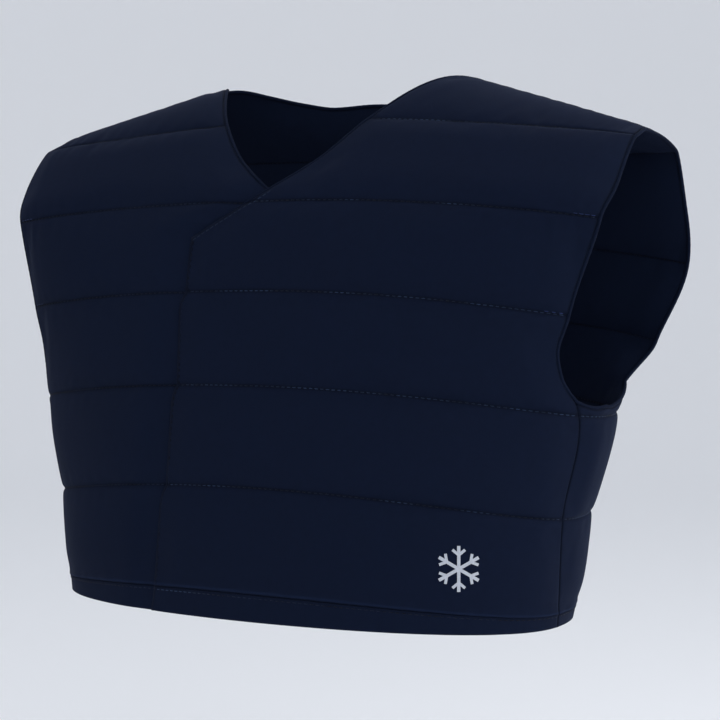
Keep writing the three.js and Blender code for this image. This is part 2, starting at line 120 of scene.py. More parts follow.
def smooth_through(positions, values, at, top_slope=None):
    """Values along rows by a curve that never overshoots, one column for each spot."""
    positions = np.asarray(positions, float)
    at = np.clip(np.asarray(at, float), positions[0], positions[-1])
    values = np.asarray(values, float)
    if values.ndim == 1:
        values = np.repeat(values[:, None], at.size, axis=1)
    widths = np.diff(positions)
    rise = np.diff(values, axis=0) / widths[:, None]
    slope = np.zeros_like(values)
    slope[0] = rise[0]
    slope[-1] = rise[-1] if top_slope is None else top_slope
    before = (2 * widths[1:] + widths[:-1])[:, None]
    after = (widths[1:] + 2 * widths[:-1])[:, None]
    turning = rise[:-1] * rise[1:] <= 0
    low = np.where(turning, 1, rise[:-1])
    high = np.where(turning, 1, rise[1:])
    slope[1:-1] = np.where(turning, 0, (before + after) / (before / low + after / high))
    i = np.clip(np.searchsorted(positions, at, side="right") - 1, 0, len(positions) - 2)
    k = np.arange(at.size)
    t = (at - positions[i]) / widths[i]
    keep = (1 + 2 * t) * (1 - t) ** 2
    leave = t * (1 - t) ** 2 * widths[i] * slope[i, k]
    arrive = t * t * (t - 1) * widths[i] * slope[i + 1, k]
    return keep * values[i, k] + leave + (1 - keep) * values[i + 1, k] + arrive


def from_table(table, at):
    at = np.asarray(at, float)
    found = smooth_through([row[0] for row in table], [row[1] for row in table], at.ravel())
    return found.reshape(at.shape)


def smoothstep(value, low, high):
    t = np.clip((value - low) / (high - low), 0, 1)
    return t * t * (3 - 2 * t)


def skin(level, degrees):
    """Points of the outside of the cloth as it lies along the stitching."""
    level, degrees = np.broadcast_arrays(np.asarray(level, float), np.asarray(degrees, float))
    shape = level.shape
    level = level.ravel()
    turn = np.radians(degrees.ravel())[None, :]
    lift, left, right, roundness, bow = np.array([LIFT, LEFT, RIGHT, ROUND, BOW])[..., None]
    in_front = np.array([FRONT_LOW, FRONT_SIDE_LOW, FRONT, FRONT_SIDE])[..., None]
    behind = np.array([BACK_LOW, BACK_SIDE_LOW, BACK, BACK_SIDE])[..., None]
    middle_low, side_low, middle_depth, side_depth = np.where(
        np.cos(turn) >= 0, in_front, behind)
    reach = np.sin(turn)
    openness = np.abs(np.cos(turn)) ** roundness
    low = middle_low + (side_low - middle_low) * np.abs(reach) ** bow
    raised = np.where(reach < 0, lift * np.abs(reach) ** LIFT_SPREAD, 0)
    x = HALF_WIDTH * np.where(reach < 0, right, left) * reach
    y = CHEST_DEPTH * (side_depth + (middle_depth - side_depth) * openness)
    z = BACK_LENGTH * (raised - low)
    points = np.stack([
        smooth_through(SECTION_LEVELS, x, level),
        smooth_through(SECTION_LEVELS, y, level),
        smooth_through(SECTION_LEVELS, z, level, 0),
    ], axis=-1)
    return points.reshape(shape + (3,))


def length_of(vectors):
    return np.linalg.norm(vectors, axis=-1)


def unit(vectors):
    return vectors / np.maximum(length_of(vectors), 1e-12)[..., None]


def slopes(level, degrees):
    level = np.asarray(level, float)
    low = np.maximum(level - SLOPE_STEP, 0)
    high = np.minimum(level + SLOPE_STEP, CREST_LEVEL)
    up = (skin(high, degrees) - skin(low, degrees)) / (high - low)[..., None]
    along = (skin(level, degrees + 1) - skin(level, degrees - 1)) / 2
    return up, along


def plain_normal(level, degrees):
    up, along = slopes(level, degrees)
    return unit(np.cross(along, up))


def normal_at(level, degrees):
    """Outward direction. Front and back share one at the crest."""
    level, degrees = np.broadcast_arrays(np.asarray(level, float), np.asarray(degrees, float))
    share = smoothstep(level, TOP_LINE_LEVEL, CREST_LEVEL)[..., None]
    crest = np.full(level.shape, float(CREST_LEVEL))
    shared = unit(plain_normal(crest, degrees) + plain_normal(crest, 180 - degrees))
    return unit(plain_normal(level, degrees) * (1 - share) + shared * share)


def level_step(level, degrees, length):
    return length / length_of(slopes(level, degrees)[0])


def channel(level):
    inside = (level > HEM_LEVEL) & (level < CREST_LEVEL)
    wave = np.abs(np.sin(np.pi * (level - np.floor(level)))) ** CHANNEL_FULLNESS
    return np.where(inside, wave, 0)


def past_middle(level):
    level = np.asarray(level, float)
    corner = from_table(FREE_EDGE, np.array(LAP_CORNER_LEVEL))
    share = (NECK_CROSSING_LEVEL - level) / (NECK_CROSSING_LEVEL - LAP_CORNER_LEVEL)
    between = np.where(level < NECK_CROSSING_LEVEL, share * corner, from_table(NECKLINE, level))
    return HALF_WIDTH * np.where(level <= LAP_CORNER_LEVEL, from_table(FREE_EDGE, level), between)


def free_edge_turn(level):
    half = skin(level, 90.0)[..., 0]
    return np.degrees(np.arcsin(np.clip(-past_middle(level) / half, -1, 1)))


def front_end_turn(level):
    return from_table(FRONT_END, level)


def lap_drop(level, degrees):
    """How far the right front lies below the skin: under the lap it follows the lap's inside."""
    x = skin(level, degrees)[..., 0]
    edge = -past_middle(level)
    share = smoothstep(x, edge - LAP_RAMP, edge - LAP_SETTLED)
    padded = smoothstep(x - edge, 0, EDGE_TAPER)
    padding = (PAD_THICKNESS - SEAM_THICKNESS) * channel(level) * padded
    space = LAP_CLEAR + (LAP_SPACE - LAP_CLEAR) * padded
    return share * (SEAM_THICKNESS + padding + space)


def join_grids(grids):
    """Spots and faces of grids of (levels, turns) that share the spots along common borders."""
    spots = np.concatenate([np.stack([g[0].ravel(), g[1].ravel()], 1) for g in grids])
    keys = np.round(spots * np.array([1e4, 1e3])).astype(np.int64)
    _, first, place = np.unique(keys, axis=0, return_index=True, return_inverse=True)
    place = place.ravel()
    faces = []
    start = 0
    for levels, _ in grids:
        index = place[start:start + levels.size].reshape(levels.shape)
        quads = [index[:-1, :-1], index[:-1, 1:], index[1:, 1:], index[1:, :-1]]
        faces.append(np.stack(quads, -1).reshape(-1, 4))
        start += levels.size
    return spots[first, 0], spots[first, 1], np.concatenate(faces)


def border_of(faces):
    """Directed edges that one face alone uses, the sheet on their left."""
    edges = np.concatenate([faces[:, [k, (k + 1) % 4]] for k in range(4)])
    present = {(int(a), int(b)) for a, b in edges}
    return np.array([edge for edge in sorted(present) if (edge[1], edge[0]) not in present])


def distance_to_border(places, border):
    nearest = np.full(len(places), np.inf)
    for a, b in border:
        side = places[b] - places[a]
        t = np.clip((places - places[a]) @ side / (side @ side), 0, 1)
        nearest = np.minimum(nearest, length_of(places - places[a] - t[:, None] * side))
    return nearest


def cloth_length(level, degrees, from_level, from_degrees, samples=24):
    """Length along the cloth from one spot to another, by small steps."""
    share = np.linspace(0, 1, samples + 1)[:, None]
    levels = from_level + (level - from_level) * share
    turns = from_degrees + (degrees - from_degrees) * share
    return length_of(np.diff(skin(levels, turns), axis=0)).sum(axis=0)


def bell(away, width):
    return np.exp(-(away / width) ** 2)


def past_line(level):
    """Levels from the nearest quilting line."""
    return level - np.clip(np.round(level), FIRST_LINE_LEVEL, TOP_LINE_LEVEL)


def stitch_pull(level):
    """The thread draws the cloth into a narrow groove along each quilting line."""
    return GROOVE_DEPTH * bell(past_line(level), GROOVE_WIDTH)


HEM_RIDGE_AT = 1.045
HEM_SEAM_SPREAD = 0.01

# Two unit steps of an edge add up to less than this where it turns a corner of 40 degrees or more
CORNER_LIMIT = 1.88


def seam_distances(level, turn, places, border):
    """Distances from the fold above the hem and from the nearest stitching line or seam."""
    per_level = length_of(slopes(level, turn)[0])
    ends = level[border]
    off_hem = np.abs(ends - HEM_LEVEL) > HEM_SEAM_SPREAD
    sewn = border[(ends > HEM_FOLD_LEVEL).any(axis=1) & off_hem.any(axis=1)]
    nearest = np.minimum(np.abs(past_line(level)) * per_level, distance_to_border(places, sewn))
    return np.stack([(level - HEM_RIDGE_AT) * per_level, nearest], 1)


def new_piece(name, vertices, faces):
    mesh = bpy.data.meshes.new(name)
    mesh.from_pydata(vertices.tolist(), [], faces)
    mesh.validate()
    mesh.shade_smooth()
    piece = bpy.data.objects.new(name, mesh)
    bpy.context.collection.objects.link(piece)
    return piece


def add_map(mesh, label, spread):
    """A UV map, from one pair of values for each vertex."""
    corner = np.zeros(len(mesh.loops), np.int32)
    mesh.loops.foreach_get("vertex_index", corner)
    mesh.uv_layers.new(name=label).data.foreach_set("uv", spread[corner].ravel())


def cloth_wall(name, grids, depths, bulge, middle_turn=0.0):
    """Closed wall of cloth: an outer face, an inner face and a rounded rim.

    depths gives how far both faces lie below the skin, and bulge how far the rim swells out.
    """
    level, turn, faces = join_grids(grids)
    border = border_of(faces)
    places = skin(level, turn)
    normals = normal_at(level, turn)
    padded = smoothstep(distance_to_border(places, border), 0, EDGE_TAPER) * channel(level)
    top, bottom = depths(level, turn, padded)
    pull = stitch_pull(level)
    top, bottom = top + pull, bottom - pull * GROOVE_INSIDE
    outer = places - normals * top[:, None]
    inner = places - normals * bottom[:, None]

    along = np.zeros_like(places)
    direction = unit(places[border[:, 1]] - places[border[:, 0]])
    np.add.at(along, border[:, 0], direction)
    np.add.at(along, border[:, 1], direction)
    rim = np.unique(border)
    away = unit(np.cross(along[rim], normals[rim]))
    swell_out = np.broadcast_to(bulge(level[rim], turn[rim]), rim.shape)
    edge = (outer[rim] + inner[rim]) / 2 + away * swell_out[:, None]

    count = len(places)
    rim_at = {int(spot): 2 * count + k for k, spot in enumerate(rim)}
    quads = [tuple(face) for face in faces.tolist()]
    quads += [tuple(count + spot for spot in reversed(face)) for face in faces.tolist()]
    for a, b in border.tolist():
        quads.append((a, rim_at[a], rim_at[b], b))
        quads.append((rim_at[a], count + a, count + b, rim_at[b]))

    piece = new_piece(name, np.concatenate([outer, inner, edge]), quads)

    turned = np.sign(turn - middle_turn)
    u = cloth_length(level, turn, level, np.full_like(turn, middle_turn)) * turned
    v = cloth_length(level, turn, np.zeros_like(level), turn)
    # The seams map places the painted shade beside the stitching and the painted highlight along
    # the hem ridge.
    near = seam_distances(level, turn, places, border)
    for label, spread in (("cloth", np.stack([u, v], 1)), ("seams", near)):
        add_map(piece.data, label, np.concatenate([spread, spread, spread[rim]]))

    corners = rim[length_of(along[rim]) < CORNER_LIMIT]
    crisp = np.zeros(len(piece.data.vertices))
    crisp[np.concatenate([corners, count + corners, [rim_at[int(spot)] for spot in corners]])] = 1
    crease = piece.data.attributes.new("crease_vert", "FLOAT", "POINT")
    crease.data.foreach_set("value", crisp)

    on_line = np.abs(level - np.round(level)) < 1e-6
    held = np.concatenate([on_line, on_line, np.ones(len(rim), bool)])
    held[rim] = True
    held[count + rim] = True
    group = piece.vertex_groups.new(name="stitched")
    group.add(np.flatnonzero(held).tolist(), 1.0, "REPLACE")
    return piece, level, turn


BROAD_WAVES = 7
BROAD_HEIGHT = 0.0006
RIPPLES = 6
RIPPLE_HEIGHT = 0.00022
CREST_CALM = 0.8


def unevenness(level, turn, seed):
    """Small waves of the cloth: broad ones all over and short puckers beside the stitching."""
    chance = np.random.default_rng(seed)
    wave = np.zeros(len(level))
    for _ in range(BROAD_WAVES):
        lines, columns = chance.uniform(-5.0, 5.0), chance.uniform(2.0, 9.0)
        wave += np.sin(lines * level + columns * np.radians(turn) * 2 + chance.uniform(0, 6.3))
    ripple = np.zeros(len(level))
    for _ in range(RIPPLES):
        columns, lines = chance.uniform(38, 95), chance.uniform(-6, 6)
        ripple += np.sin(columns * np.radians(turn) + lines * level + chance.uniform(0, 6.3))
    beside = np.abs(level - np.round(level))
    near = smoothstep(beside, 0.0, 0.1) * (1 - smoothstep(beside, 0.12, 0.38))
    calm = 1 - CREST_CALM * smoothstep(level, TOP_LINE_LEVEL, TOP_LINE_LEVEL + 0.5)
    return wave / BROAD_WAVES * BROAD_HEIGHT * calm, ripple / RIPPLES * near * RIPPLE_HEIGHT * calm


def apply_modifier(piece, name):
    bpy.ops.object.select_all(action="DESELECT")
    bpy.context.view_layer.objects.active = piece
    piece.select_set(True)
    bpy.ops.object.modifier_apply(modifier=name)


def points_of(piece):
    found = np.zeros(len(piece.data.vertices) * 3)
    piece.data.vertices.foreach_get("co", found)
    return found.reshape(-1, 3)


SWELL_FRAMES = 16
SWELL_SETTINGS = {
    "quality": 5, "mass": 0.05, "tension_stiffness": 12, "compression_stiffness": 12,
    "shear_stiffness": 4, "bending_stiffness": 0.3, "use_pressure": True,
    "uniform_pressure_force": 4, "vertex_group_mass": "stitched", "shrink_min": -0.006,
}


def swell(piece, room):
    """The filling presses the cloth out between its stitching; no point goes past its room."""
    before = points_of(piece)
    cloth = piece.modifiers.new("Swelling", "CLOTH")
    for setting, value in SWELL_SETTINGS.items():
        setattr(cloth.settings, setting, value)
    cloth.settings.effector_weights.gravity = 0
    cloth.collision_settings.use_collision = False
    cloth.point_cache.frame_start = 1
    cloth.point_cache.frame_end = SWELL_FRAMES
    for step in range(1, SWELL_FRAMES + 1):
        bpy.context.scene.frame_set(step)
    apply_modifier(piece, "Swelling")
    moved = points_of(piece) - before
    length = length_of(moved)
    kept = room * np.tanh(length / room)
    moved *= (kept / np.maximum(length, 1e-9))[:, None]
    piece.data.vertices.foreach_set("co", (before + moved).ravel())
    bpy.context.scene.frame_set(1)


def smooth_once(piece):
    divide = piece.modifiers.new("Rounded", "SUBSURF")
    divide.levels = divide.render_levels = 1
    divide.uv_smooth = "PRESERVE_BOUNDARIES"
    apply_modifier(piece, "Rounded")
    piece.data.shade_smooth()


def channel_levels(first, last):
    return [line + share for line in range(first, last) for share in CHANNEL_ROWS]


def panel_levels(degrees):
    levels = channel_levels(HEM_LEVEL, CREST_LEVEL)
    levels[0] += level_step(HEM_LEVEL + 0.1, degrees, PIECE_GAP / 2)
    levels.append(CREST_LEVEL - level_step(CREST_LEVEL - 0.1, degrees, PIECE_GAP / 2))
    return np.array(levels)


def front_grid(levels, side):
    levels = levels[:, None]
    start = free_edge_turn(levels)
    end = front_end_turn(levels)
    _, along = slopes(levels, end)
    gap = np.where(levels < ARMHOLE_FRONT_LEVEL, PIECE_GAP / 2 / length_of(along), 0)
    turns = side * (start + (end - gap - start) * np.linspace(0, 1, FRONT_COLUMNS + 1))
    levels = np.repeat(levels, FRONT_COLUMNS + 1, axis=1)
    return (levels, turns) if side > 0 else (levels[:, ::-1], turns[:, ::-1])


THREAD_PITCH = 0.0005
# Width of the painted shade beside the stitching and the seams
CREASE_SHADE_WIDTH = 0.0009
# Width of the painted highlight along the hem ridge
RIDGE_HIGHLIGHT_WIDTH = 0.001
SLUB_SCALE = 900
MOTTLE_SCALE = 16
FUZZ_SCALE = 220
THREAD_RELIEF = 0.35
FUZZ_RELIEF = 0.6
THREAD_SHADE = 0.08
FUZZ_SHADE = 0.25
ROUGHNESS_SPREAD = 0.15


def set_inputs(node, **values):
    for label, value in values.items():
        node.inputs[label.replace("_", " ")].default_value = value


def weave_group():
    """Fine plain weave with slubs and a faint mottle, shared by every cloth of the vest."""
    group = bpy.data.node_groups.new("Woven cloth", "ShaderNodeTree")
    face = group.interface
    face.new_socket("Colour", in_out="INPUT", socket_type="NodeSocketColor")
    for label in ("Thread pitch", "Mottle", "Slub", "Roughness", "Crease", "Wear"):
        face.new_socket(label, in_out="INPUT", socket_type="NodeSocketFloat")
    face.new_socket("Colour", in_out="OUTPUT", socket_type="NodeSocketColor")
    for label in ("Roughness", "Height"):
        face.new_socket(label, in_out="OUTPUT", socket_type="NodeSocketFloat")
    nodes, links = group.nodes, group.links
    given = nodes.new("NodeGroupInput")
    out = nodes.new("NodeGroupOutput")

    def maths(operation, *values):
        node = nodes.new("ShaderNodeMath")
        node.operation = operation
        for socket, value in zip(node.inputs, values):
            if isinstance(value, (int, float)):
                socket.default_value = value
            else:
                links.new(value, socket)
        return node.outputs[0]

    times, plus, minus, times_plus = [
        partial(maths, operation) for operation in ("MULTIPLY", "ADD", "SUBTRACT", "MULTIPLY_ADD")]

    def noise(vector, scale, detail):
        node = nodes.new("ShaderNodeTexNoise")
        set_inputs(node, Scale=scale, Detail=detail)
        links.new(vector, node.inputs["Vector"])
        return node.outputs["Fac"]

    def map_values(label):
        cloth_map = nodes.new("ShaderNodeUVMap")
        cloth_map.uv_map = label
        split = nodes.new("ShaderNodeSeparateXYZ")
        links.new(cloth_map.outputs[0], split.inputs[0])
        return split.outputs[0], split.outputs[1]

    across, along = [
        maths("SINE", maths("DIVIDE", times(spread, 2 * math.pi), given.outputs["Thread pitch"]))
        for spread in map_values("cloth")]
    threads = times(across, along)

    place = nodes.new("ShaderNodeTexCoord").outputs["Object"]
    slubs = times(noise(place, SLUB_SCALE, 2), given.outputs["Slub"])
    mottle = minus(noise(place, MOTTLE_SCALE, 4), 0.5)
    fuzz = noise(place, FUZZ_SCALE, 3)

    height = times_plus(threads, THREAD_RELIEF, slubs)
    links.new(plus(height, times(fuzz, FUZZ_RELIEF)), out.inputs["Height"])
    shade = times(mottle, given.outputs["Mottle"])
    shade = times_plus(minus(fuzz, 0.5), FUZZ_SHADE, shade)
    shade = plus(times_plus(threads, THREAD_SHADE, shade), 1.0)

    def close_to(distance, width):
        share = maths("DIVIDE", distance, width)
        return maths("EXPONENT", times(times(share, share), -1))

    from_ridge, from_seam = map_values("seams")
    # Painted shade: the cloth is darkened beside each stitching line and seam, where its groove
    # lies in shade.
    crease = times(close_to(from_seam, CREASE_SHADE_WIDTH), given.outputs["Crease"])
    # Painted highlight: the cloth is lightened along the hem ridge, whose top catches the light.
    ridge_highlight = times(close_to(from_ridge, RIDGE_HIGHLIGHT_WIDTH), given.outputs["Wear"])
    shade = times(shade, plus(minus(ridge_highlight, crease), 1.0))
    tint = nodes.new("ShaderNodeVectorMath")
    tint.operation = "SCALE"
    links.new(given.outputs["Colour"], tint.inputs[0])
    links.new(shade, tint.inputs["Scale"])
    links.new(tint.outputs[0], out.inputs["Colour"])
    rough = times_plus(mottle, ROUGHNESS_SPREAD, given.outputs["Roughness"])
    links.new(rough, out.inputs["Roughness"])
    return group


woven_cloth = weave_group()


def new_material(name, **settings):
    """A material with constants on its shader, given with _ for each space of a socket's name."""
    material = bpy.data.materials.new(name)
    material.use_nodes = True
    shader = material.node_tree.nodes["Principled BSDF"]
    set_inputs(shader, **settings)
    return material, material.node_tree.nodes, material.node_tree.links, shader


def cloth_material(name, colour, pitch=THREAD_PITCH, slub=0.2, relief=0.00005, sheen=0.04,
                   crease=0.0, ridge_highlight=0.0):
    """Matt woven cloth: the weave group feeds a plain shader with a little sheen."""
    material, nodes, links, shader = new_material(
        name, Specular_IOR_Level=0.05, Sheen_Weight=sheen, Sheen_Roughness=0.4,
        Sheen_Tint=(0.32, 0.42, 0.8, 1))
    weave = nodes.new("ShaderNodeGroup")
    weave.node_tree = woven_cloth
    set_inputs(weave, Colour=(*colour, 1), Thread_pitch=pitch, Mottle=0.12, Slub=slub,
               Roughness=0.85, Crease=crease, Wear=ridge_highlight)
    bump = nodes.new("ShaderNodeBump")
    set_inputs(bump, Strength=0.6, Distance=relief)
    links.new(weave.outputs["Colour"], shader.inputs["Base Color"])
    links.new(weave.outputs["Roughness"], shader.inputs["Roughness"])
    links.new(weave.outputs["Height"], bump.inputs["Height"])
    links.new(bump.outputs["Normal"], shader.inputs["Normal"])
    return material


NAVY = (0.0040, 0.0074, 0.0205)
# The panel cloth carries painted shade beside its stitching and seams and a painted highlight
# along its hem ridge.
panel_cloth = cloth_material("Navy panel cloth", NAVY, crease=0.42, ridge_highlight=0.55)

SEAM_SWELL = 0.0005
HEM_RIDGE = 0.0011
HEM_RIDGE_WIDTH = 0.03
LAP_EDGE_SWELL = 0.0009
LAP_MARGIN = 0.004
CROSSING_MARGIN = 0.2
OPEN_ROOM = 0.0016
LAP_ROOM = 0.0006
INSIDE_RIPPLE = 0.5
FREE_FROM = 0.4


def fit_out(piece, material):
    """Every piece has its material and its slot, and rides on the vest."""
    piece.data.materials.append(material)
    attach(piece, "root")


def quilted_depths(level, turn, padded, seed):
    """Depths of both faces of a panel: its padding and the waves of its cloth.

    The folded edge of the turned hem presses through as a ridge just above the hem's seam.
    """
    padding = (PAD_THICKNESS - SEAM_THICKNESS) * padded
    broad, ripple = unevenness(level, turn, seed)
    free = smoothstep(padded, 0, FREE_FROM)
    ridge = HEM_RIDGE * bell(level - HEM_RIDGE_AT, HEM_RIDGE_WIDTH)
    top = -PAD_OUTWARD * padding - (broad + ripple) * free - ridge
    bottom = SEAM_THICKNESS + (1 - PAD_OUTWARD) * padding
    return top, bottom - (broad + ripple * INSIDE_RIPPLE) * free


def fill_panel(panel, room):
    """The filling swells a panel, and its faces are rounded once."""
    swell(panel, room)
    smooth_once(panel)
    fit_out(panel, panel_cloth)


def front_panel(name, side, seed):
    def depths(level, turn, padded):
        top, bottom = quilted_depths(level, turn, padded, seed)
        if side > 0:
            return top, bottom
        drop = lap_drop(level, turn)
        share = np.minimum(drop / LAP_SPACE, 1)
        return top * (1 - share) + drop, bottom - top * share + drop

    def bulge(level, turn):
        at_lap = (np.abs(turn - side * free_edge_turn(level)) < 0.05) & (level <= LAP_CORNER_LEVEL)
        return np.where(at_lap, LAP_EDGE_SWELL, SEAM_SWELL)

    panel, level, turn = cloth_wall(name, [front_grid(panel_levels(45.0), side)], depths, bulge)
    lapped = np.abs(skin(level, turn)[:, 0]) < past_middle(level) + LAP_MARGIN
    room = np.where(lapped & (level < NECK_CROSSING_LEVEL + CROSSING_MARGIN), LAP_ROOM, OPEN_ROOM)
    rim_count = len(panel.data.vertices) - 2 * len(room)
    fill_panel(panel, np.concatenate([room, room, np.full(rim_count, LAP_ROOM)]))
    return panel


right_panel = front_panel("quilted_front_right", -1, 11)
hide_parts("front_panel_right")


# Touch fastener between the laps
# A woven tape with a short dense pile on its face, sewn flat on the under lap, where the upper
# lap presses on it. It is hidden when the wrap is closed.

STRIP_FROM = -0.16
STRIP_TO = -0.06
STRIP_COLUMNS = 12
STRIP_FROM_LEVEL = HEM_LEVEL + 0.35
STRIP_TO_LEVEL = ARMPIT_LINE_LEVEL + 0.88
STRIP_EDGE_SWELL = 0.0002


def fastening_strip():
    levels = np.array(channel_levels(HEM_LEVEL, ARMPIT_LINE_LEVEL + 1))
    levels = levels[(levels >= STRIP_FROM_LEVEL) & (levels <= STRIP_TO_LEVEL)]
    reach = HALF_WIDTH * np.linspace(STRIP_FROM, STRIP_TO, STRIP_COLUMNS + 1)
    levels = np.repeat(levels[:, None], STRIP_COLUMNS + 1, axis=1)
    grid = (levels, np.degrees(np.arcsin(reach / skin(levels, 90.0)[..., 0])))

    def depths(level, turn, padded):
        top = SEAM_THICKNESS + (PAD_THICKNESS - SEAM_THICKNESS) * channel(level) + STRIP_GAP
        return top, top + STRIP_THICKNESS

    strip, _, _ = cloth_wall("touch_fastener_strip", [grid], depths,
                             lambda level, turn: STRIP_EDGE_SWELL)
    smooth_once(strip)
    return strip


strip = fastening_strip()
pile = cloth_material("Fastener pile", (0.004, 0.006, 0.014), pitch=0.0011, slub=0.9,
                      relief=0.0002, sheen=0.3)
fit_out(strip, pile)
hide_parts("lap_fastening_strip")


# Left front panel, the upper lap
# The same quilted cloth as the right one, laid over it. Its neck edge slants on down to a
# corner, and from there its free edge falls to the hem.

left_panel = front_panel("quilted_front_left", 1, 23)
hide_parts("front_panel_left")


# Back panel
# One quilted piece of the same cloth. Over the shoulders it meets the fronts on the crest, and
# under the arms it runs forward to the side seams.

ARMHOLE_BACK_LEVEL = 3.35
BACK_END = [
    (ARMHOLE_BACK_LEVEL, 68.6), (3.6, 70.5), (4, 75), (4.5, 77), (5, 77.6), (6, 75.6), (7, 76),
]
ARMHOLE_FOOT = [
    (72.4, ARMHOLE_FRONT_LEVEL), (76, 3.09), (82, 3.07), (90, 3.09), (98, 3.15), (106, 3.25),
    (111.4, ARMHOLE_BACK_LEVEL),
]
BACK_NECK = [(0, 6.4), (0.25, 6.42), (0.5, 6.51), (0.75, 6.68), (1, 7)]
BACK_NECK_COLUMNS = 16
BACK_SHOULDER_COLUMNS = 34
BACK_SIDE_COLUMNS = 18


def back_end_turn(level):
    return from_table(BACK_END, np.maximum(level, ARMHOLE_BACK_LEVEL))


NECK_SHARE = float(free_edge_turn(CREST_LEVEL) / back_end_turn(CREST_LEVEL))


def back_grids(levels):
    half = np.concatenate([
        np.linspace(0, NECK_SHARE, BACK_NECK_COLUMNS + 1)[:-1],
        np.linspace(NECK_SHARE, 1, BACK_SHOULDER_COLUMNS + 1),
    ])
    shares = np.concatenate([-half[:0:-1], half])[None, :]
    top = levels[-1]
    edge = from_table(BACK_NECK, np.abs(shares) / NECK_SHARE)
    height = np.minimum(edge, max(top, HEM_LEVEL))
    climb = np.maximum(levels - TOP_LINE_LEVEL, 0)[:, None] / max(top - TOP_LINE_LEVEL, 1e-9)
    here = np.where(levels[:, None] <= TOP_LINE_LEVEL, levels[:, None],
                    TOP_LINE_LEVEL + climb * (height - TOP_LINE_LEVEL))
    middle = (here, 180 + shares * back_end_turn(here))

    low = levels[levels <= ARMHOLE_BACK_LEVEL][:, None]
    climb = (low - ARMPIT_LINE_LEVEL) / (ARMHOLE_BACK_LEVEL - ARMPIT_LINE_LEVEL)

    def squeezed(foot):
        return np.where(climb > 0, ARMPIT_LINE_LEVEL + climb * (foot - ARMPIT_LINE_LEVEL), low)

    seam = front_end_turn(squeezed(ARMHOLE_FRONT_LEVEL))
    _, along = slopes(low, seam)
    start = seam + PIECE_GAP / 2 / length_of(along)
    end = 180 - back_end_turn(low)
    turns = start + (end - start) * np.linspace(0, 1, BACK_SIDE_COLUMNS + 1)
    rows = squeezed(from_table(ARMHOLE_FOOT, turns))
    rows[:, -1] = low[:, 0]
    return [(rows, turns), middle, (rows[:, ::-1], 360 - turns[:, ::-1])]


back_panel, _, _ = cloth_wall(
    "quilted_back", back_grids(panel_levels(135.0)),
    lambda level, turn, padded: quilted_depths(level, turn, padded, 37),
    lambda level, turn: SEAM_SWELL, middle_turn=180.0)
fill_panel(back_panel, np.full(len(back_panel.data.vertices), OPEN_ROOM))
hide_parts("back_panel")


# Turned hem, three lengths
# The cloth is turned up inside and stitched. The band is flat, a little puckered by its stitching,
# and the fold at the bottom is round.

HEM_THICKNESS = 0.003
HEM_FOLD_SWELL = 0.0009
HEM_RIPPLE_SHIFT = 0.25
HEM_RIPPLE = 0.6
HEM_INSIDE_RIPPLE = 0.3
HEM_TOP_RISE = 0.0005
HEM_TOP_SPREAD = 0.06
HEM_ROWS = [0, 0.04, 0.12, 0.25, 0.4, 0.55, 0.68, 0.77, 0.84, 0.9, 0.96]


def hem_levels(degrees):
    return np.array(HEM_ROWS + [HEM_LEVEL - level_step(HEM_LEVEL / 2, degrees, PIECE_GAP / 2)])


def hem(node, grids, middle_turn, seed, under=False):
    def depths(level, turn, padded):
        drop = lap_drop(level, turn) if under else np.zeros(len(level))
        _, ripple = unevenness(level + HEM_RIPPLE_SHIFT, turn, seed)
        bare = 1 - np.clip(drop / LAP_SPACE, 0, 1)
        raised = HEM_TOP_RISE * bell(level - HEM_LEVEL, HEM_TOP_SPREAD)
        top = drop - (ripple * HEM_RIPPLE + raised) * bare
        return top, drop + HEM_THICKNESS + ripple * HEM_INSIDE_RIPPLE

    def bulge(level, turn):
        return np.where(level < HEM_FOLD_LEVEL, HEM_FOLD_SWELL, SEAM_SWELL)

    band, _, _ = cloth_wall(f"{node}_turned", grids, depths, bulge, middle_turn)
    smooth_once(band)
    fit_out(band, panel_cloth)
    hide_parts(node)
    return band


hem_right = hem("hem_front_right", [front_grid(hem_levels(45.0), -1)], 0.0, 41, under=True)
hem_left = hem("hem_front_left", [front_grid(hem_levels(45.0), 1)], 0.0, 43)
hem_behind = hem("hem_back", back_grids(hem_levels(135.0)), 180.0, 47)


# Rolled edges of the armholes and the neck
# The cloth is rolled over itself into a thin bead and stitched beside it. The neck edge runs on
# down the slanted top of both laps.

ROLL_RADIUS = 0.00115
ROLL_SEAT = 0.00005
ROLL_SIDES = 14
ROLL_STEP = 0.0022
ROLL_TIP = 0.6
ROLL_PUCKER = 0.04
PUCKER_LENGTH = 0.0052
NECK_THIN_END = 0.35

# Painted shade: the bead is the panels' own cloth in a darker colour, which tones down the light
# its round shape catches.
shaded_edge_cloth = cloth_material("Navy edge cloth", (0.0034, 0.0063, 0.0175), sheen=0.02)


def evenly(points, others, step, closed):
    """A path resampled at an even step, with what goes with each of its points."""
    if closed:
        points = np.concatenate([points, points[:1]])
        others = [np.concatenate([other, other[:1]]) for other in others]
    run = np.concatenate([[0], np.cumsum(length_of(np.diff(points, axis=0)))])
    count = max(int(round(run[-1] / step)), 2)
    at = np.linspace(0, run[-1], count + 1)
    if closed:
        at = at[:-1]

    def resampled(values):
        return np.stack([np.interp(at, run, column) for column in values.T], 1)

    return resampled(points), [resampled(other) for other in others], at


